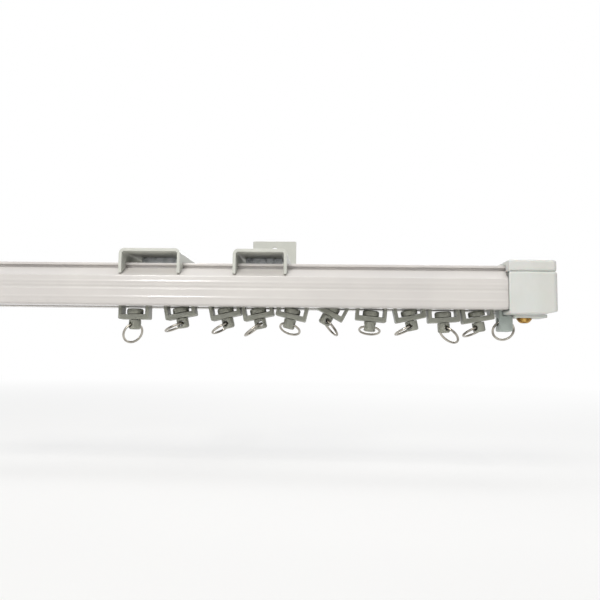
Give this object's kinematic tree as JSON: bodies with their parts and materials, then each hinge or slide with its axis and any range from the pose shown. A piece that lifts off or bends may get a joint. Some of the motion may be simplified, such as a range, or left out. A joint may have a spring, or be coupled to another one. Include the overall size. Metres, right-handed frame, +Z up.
{
  "type": "curtain track",
  "caption": "White extruded curtain track hung from two wall brackets, with capped ends and sliding nylon gliders that each carry a wire ring on a swivel.",
  "frame": {"origin": "centre of the right wall foot's screw hole, on the wall plane", "axes": "+X along the rail to the right as seen from the room, +Y into the wall, +Z up"},
  "size_m": [0.4059, 0.1055, 0.0822],
  "materials": {
    "rail_coat": "warm white gloss stove enamel on extruded aluminium",
    "cap_plastic": "semi-gloss white moulded plastic",
    "stop_plastic": "bluish white moulded plastic",
    "bracket_coat": "white powder coat on folded steel",
    "nylon": "greyish white translucent nylon",
    "nickel": "bright nickel plated wire",
    "zinc": "zinc plated steel",
    "brass": "yellow passivated brass"
  },
  "bodies": {
    "track": {"rail": "rail_coat", "left_cap_body": "cap_plastic", "left_cap_lid": "cap_plastic", "left_cap_foot": "cap_plastic", "left_cap_nut": "zinc", "left_cap_screw": "brass", "left_bracket_arm": "bracket_coat", "left_bracket_jaw": "zinc", "left_bracket_foot": "bracket_coat", "left_bracket_screws": "zinc", "left_bracket_nuts": "zinc", "right_cap_body": "cap_plastic", "right_cap_lid": "cap_plastic", "right_cap_foot": "cap_plastic", "right_cap_nut": "zinc", "right_cap_screw": "brass", "right_bracket_arm": "bracket_coat", "right_bracket_jaw": "zinc", "right_bracket_foot": "bracket_coat", "right_bracket_screws": "zinc", "right_bracket_nuts": "zinc", "end_stop": "stop_plastic"},
    "yoke_10": {"glider_10_yoke": "nylon"},
    "swivel_10": {"glider_10_swivel": "nylon"},
    "ring_10": {"glider_10_ring": "nickel"},
    "yoke_9": {"glider_9_yoke": "nylon"},
    "swivel_9": {"glider_9_swivel": "nylon"},
    "ring_9": {"glider_9_ring": "nickel"},
    "yoke_8": {"glider_8_yoke": "nylon"},
    "swivel_8": {"glider_8_swivel": "nylon"},
    "ring_8": {"glider_8_ring": "nickel"},
    "yoke_7": {"glider_7_yoke": "nylon"},
    "swivel_7": {"glider_7_swivel": "nylon"},
    "ring_7": {"glider_7_ring": "nickel"},
    "yoke_6": {"glider_6_yoke": "nylon"},
    "swivel_6": {"glider_6_swivel": "nylon"},
    "ring_6": {"glider_6_ring": "nickel"},
    "yoke_5": {"glider_5_yoke": "nylon"},
    "swivel_5": {"glider_5_swivel": "nylon"},
    "ring_5": {"glider_5_ring": "nickel"},
    "yoke_4": {"glider_4_yoke": "nylon"},
    "swivel_4": {"glider_4_swivel": "nylon"},
    "ring_4": {"glider_4_ring": "nickel"},
    "yoke_3": {"glider_3_yoke": "nylon"},
    "swivel_3": {"glider_3_swivel": "nylon"},
    "ring_3": {"glider_3_ring": "nickel"},
    "yoke_2": {"glider_2_yoke": "nylon"},
    "swivel_2": {"glider_2_swivel": "nylon"},
    "ring_2": {"glider_2_ring": "nickel"},
    "yoke_1": {"glider_1_yoke": "nylon"},
    "swivel_1": {"glider_1_swivel": "nylon"},
    "ring_1": {"glider_1_ring": "nickel"},
    "end_ring": {"end_stop_ring": "nickel"}
  },
  "joints": [
    {"name": "glider_10_slide", "type": "slide", "parent": "track", "child": "yoke_10", "axis": [1, 0, 0], "range_m": [-0.0104, 0.0004]},
    {"name": "glider_10_swivel_turn", "type": "hinge", "parent": "yoke_10", "child": "swivel_10", "pos_m": [0.13571, -0.0875, -0.05852], "axis": [-0.1736, 0, 0.9848], "range_deg": [-30, 180]},
    {"name": "glider_10_ring_swing", "type": "hinge", "parent": "swivel_10", "child": "ring_10", "pos_m": [0.1363, -0.0875, -0.06187], "axis": [0.7967, 0.5878, 0.1405], "range_deg": [-170, 30]},
    {"name": "glider_9_slide", "type": "slide", "parent": "yoke_10", "child": "yoke_9", "axis": [1, 0, 0], "range_m": [-0.0104, 0.0004]},
    {"name": "glider_9_swivel_turn", "type": "hinge", "parent": "yoke_9", "child": "swivel_9", "pos_m": [0.11442, -0.0875, -0.05928], "axis": [-0.0593, 0, 0.9982], "continuous": true},
    {"name": "glider_9_ring_swing", "type": "hinge", "parent": "swivel_9", "child": "ring_9", "pos_m": [0.11463, -0.0875, -0.06267], "axis": [0.5141, -0.8572, 0.0305], "range_deg": [-141, 39]},
    {"name": "glider_8_slide", "type": "slide", "parent": "yoke_9", "child": "yoke_8", "axis": [1, 0, 0], "range_m": [-0.0104, 0.0006]},
    {"name": "glider_8_swivel_turn", "type": "hinge", "parent": "yoke_8", "child": "swivel_8", "pos_m": [0.09409, -0.0875, -0.05826], "axis": [-0.2079, 0, 0.9781], "continuous": true},
    {"name": "glider_8_ring_swing", "type": "hinge", "parent": "swivel_8", "child": "ring_8", "pos_m": [0.0948, -0.0875, -0.06158], "axis": [0.561, 0.8192, 0.1193], "range_deg": [-154, 5]},
    {"name": "glider_7_slide", "type": "slide", "parent": "yoke_8", "child": "yoke_7", "axis": [1, 0, 0], "range_m": [-0.0104, 0.0028]},
    {"name": "glider_7_swivel_turn", "type": "hinge", "parent": "yoke_7", "child": "swivel_7", "pos_m": [0.06879, -0.0875, -0.05911], "axis": [0.0872, 0, 0.9962], "continuous": true},
    {"name": "glider_7_ring_swing", "type": "hinge", "parent": "swivel_7", "child": "ring_7", "pos_m": [0.06849, -0.0875, -0.0625], "axis": [0.9948, -0.0523, -0.087], "range_deg": [-170, 30]},
    {"name": "glider_6_slide", "type": "slide", "parent": "yoke_7", "child": "yoke_6", "axis": [1, 0, 0], "range_m": [-0.0104, 0.0034]},
    {"name": "glider_6_swivel_turn", "type": "hinge", "parent": "yoke_6", "child": "swivel_6", "pos_m": [0.04237, -0.0875, -0.05563], "axis": [0.4695, 0, 0.8829], "range_deg": [-150, 70]},
    {"name": "glider_6_ring_swing", "type": "hinge", "parent": "swivel_6", "child": "ring_6", "pos_m": [0.04078, -0.0875, -0.05863], "axis": [0.4145, -0.8829, -0.2204], "range_deg": [-111, 34]},
    {"name": "glider_5_slide", "type": "slide", "parent": "yoke_6", "child": "yoke_5", "axis": [1, 0, 0], "range_m": [-0.0104, 0.0035]},
    {"name": "glider_5_swivel_turn", "type": "hinge", "parent": "yoke_5", "child": "swivel_5", "pos_m": [0.01857, -0.0875, -0.05812], "axis": [0.225, 0, 0.9744], "continuous": true},
    {"name": "glider_5_ring_swing", "type": "hinge", "parent": "swivel_5", "child": "ring_5", "pos_m": [0.01781, -0.0875, -0.06143], "axis": [0.9649, -0.1392, -0.2228], "range_deg": [-162, 38]},
    {"name": "glider_4_slide", "type": "slide", "parent": "yoke_5", "child": "yoke_4", "axis": [1, 0, 0], "range_m": [-0.0104, 0.0007]},
    {"name": "glider_4_swivel_turn", "type": "hinge", "parent": "yoke_4", "child": "swivel_4", "pos_m": [-0.00106, -0.0875, -0.05823], "axis": [-0.2113, 0, 0.9774], "continuous": true},
    {"name": "glider_4_ring_swing", "type": "hinge", "parent": "swivel_4", "child": "ring_4", "pos_m": [-0.00034, -0.0875, -0.06155], "axis": [0.0341, 0.9994, 0.0074], "range_deg": [-135, 10]},
    {"name": "glider_3_slide", "type": "slide", "parent": "yoke_4", "child": "yoke_3", "axis": [1, 0, 0], "range_m": [-0.0104, 0.0005]},
    {"name": "glider_3_swivel_turn", "type": "hinge", "parent": "yoke_3", "child": "swivel_3", "pos_m": [-0.0218, -0.0875, -0.05813], "axis": [-0.2233, 0, 0.9748], "continuous": true},
    {"name": "glider_3_ring_swing", "type": "hinge", "parent": "swivel_3", "child": "ring_3", "pos_m": [-0.02104, -0.0875, -0.06145], "axis": [0.3652, 0.9272, 0.0836], "range_deg": [-102, 4]},
    {"name": "glider_2_slide", "type": "slide", "parent": "yoke_3", "child": "yoke_2", "axis": [1, 0, 0], "range_m": [-0.0104, 0.0084]},
    {"name": "glider_2_swivel_turn", "type": "hinge", "parent": "yoke_2", "child": "swivel_2", "pos_m": [-0.05072, -0.0875, -0.05843], "axis": [-0.1857, 0, 0.9826], "continuous": true},
    {"name": "glider_2_ring_swing", "type": "hinge", "parent": "swivel_2", "child": "ring_2", "pos_m": [-0.05009, -0.0875, -0.06177], "axis": [0.1368, 0.9903, 0.0258], "range_deg": [-176, 4]},
    {"name": "glider_1_slide", "type": "slide", "parent": "yoke_2", "child": "yoke_1", "axis": [1, 0, 0], "range_m": [-0.0104, 0.0089]},
    {"name": "glider_1_swivel_turn", "type": "hinge", "parent": "yoke_1", "child": "swivel_1", "pos_m": [-0.0811, -0.0875, -0.0596], "axis": [0, 0, 1], "continuous": true},
    {"name": "glider_1_ring_swing", "type": "hinge", "parent": "swivel_1", "child": "ring_1", "pos_m": [-0.0811, -0.0875, -0.063], "axis": [0.682, 0.7314, 0], "range_deg": [-124, 76]},
    {"name": "end_ring_swing", "type": "hinge", "parent": "track", "child": "end_ring", "pos_m": [0.15195, -0.0875, -0.0585], "axis": [1, 0, 0], "range_deg": [-123, 67]}
  ]
}
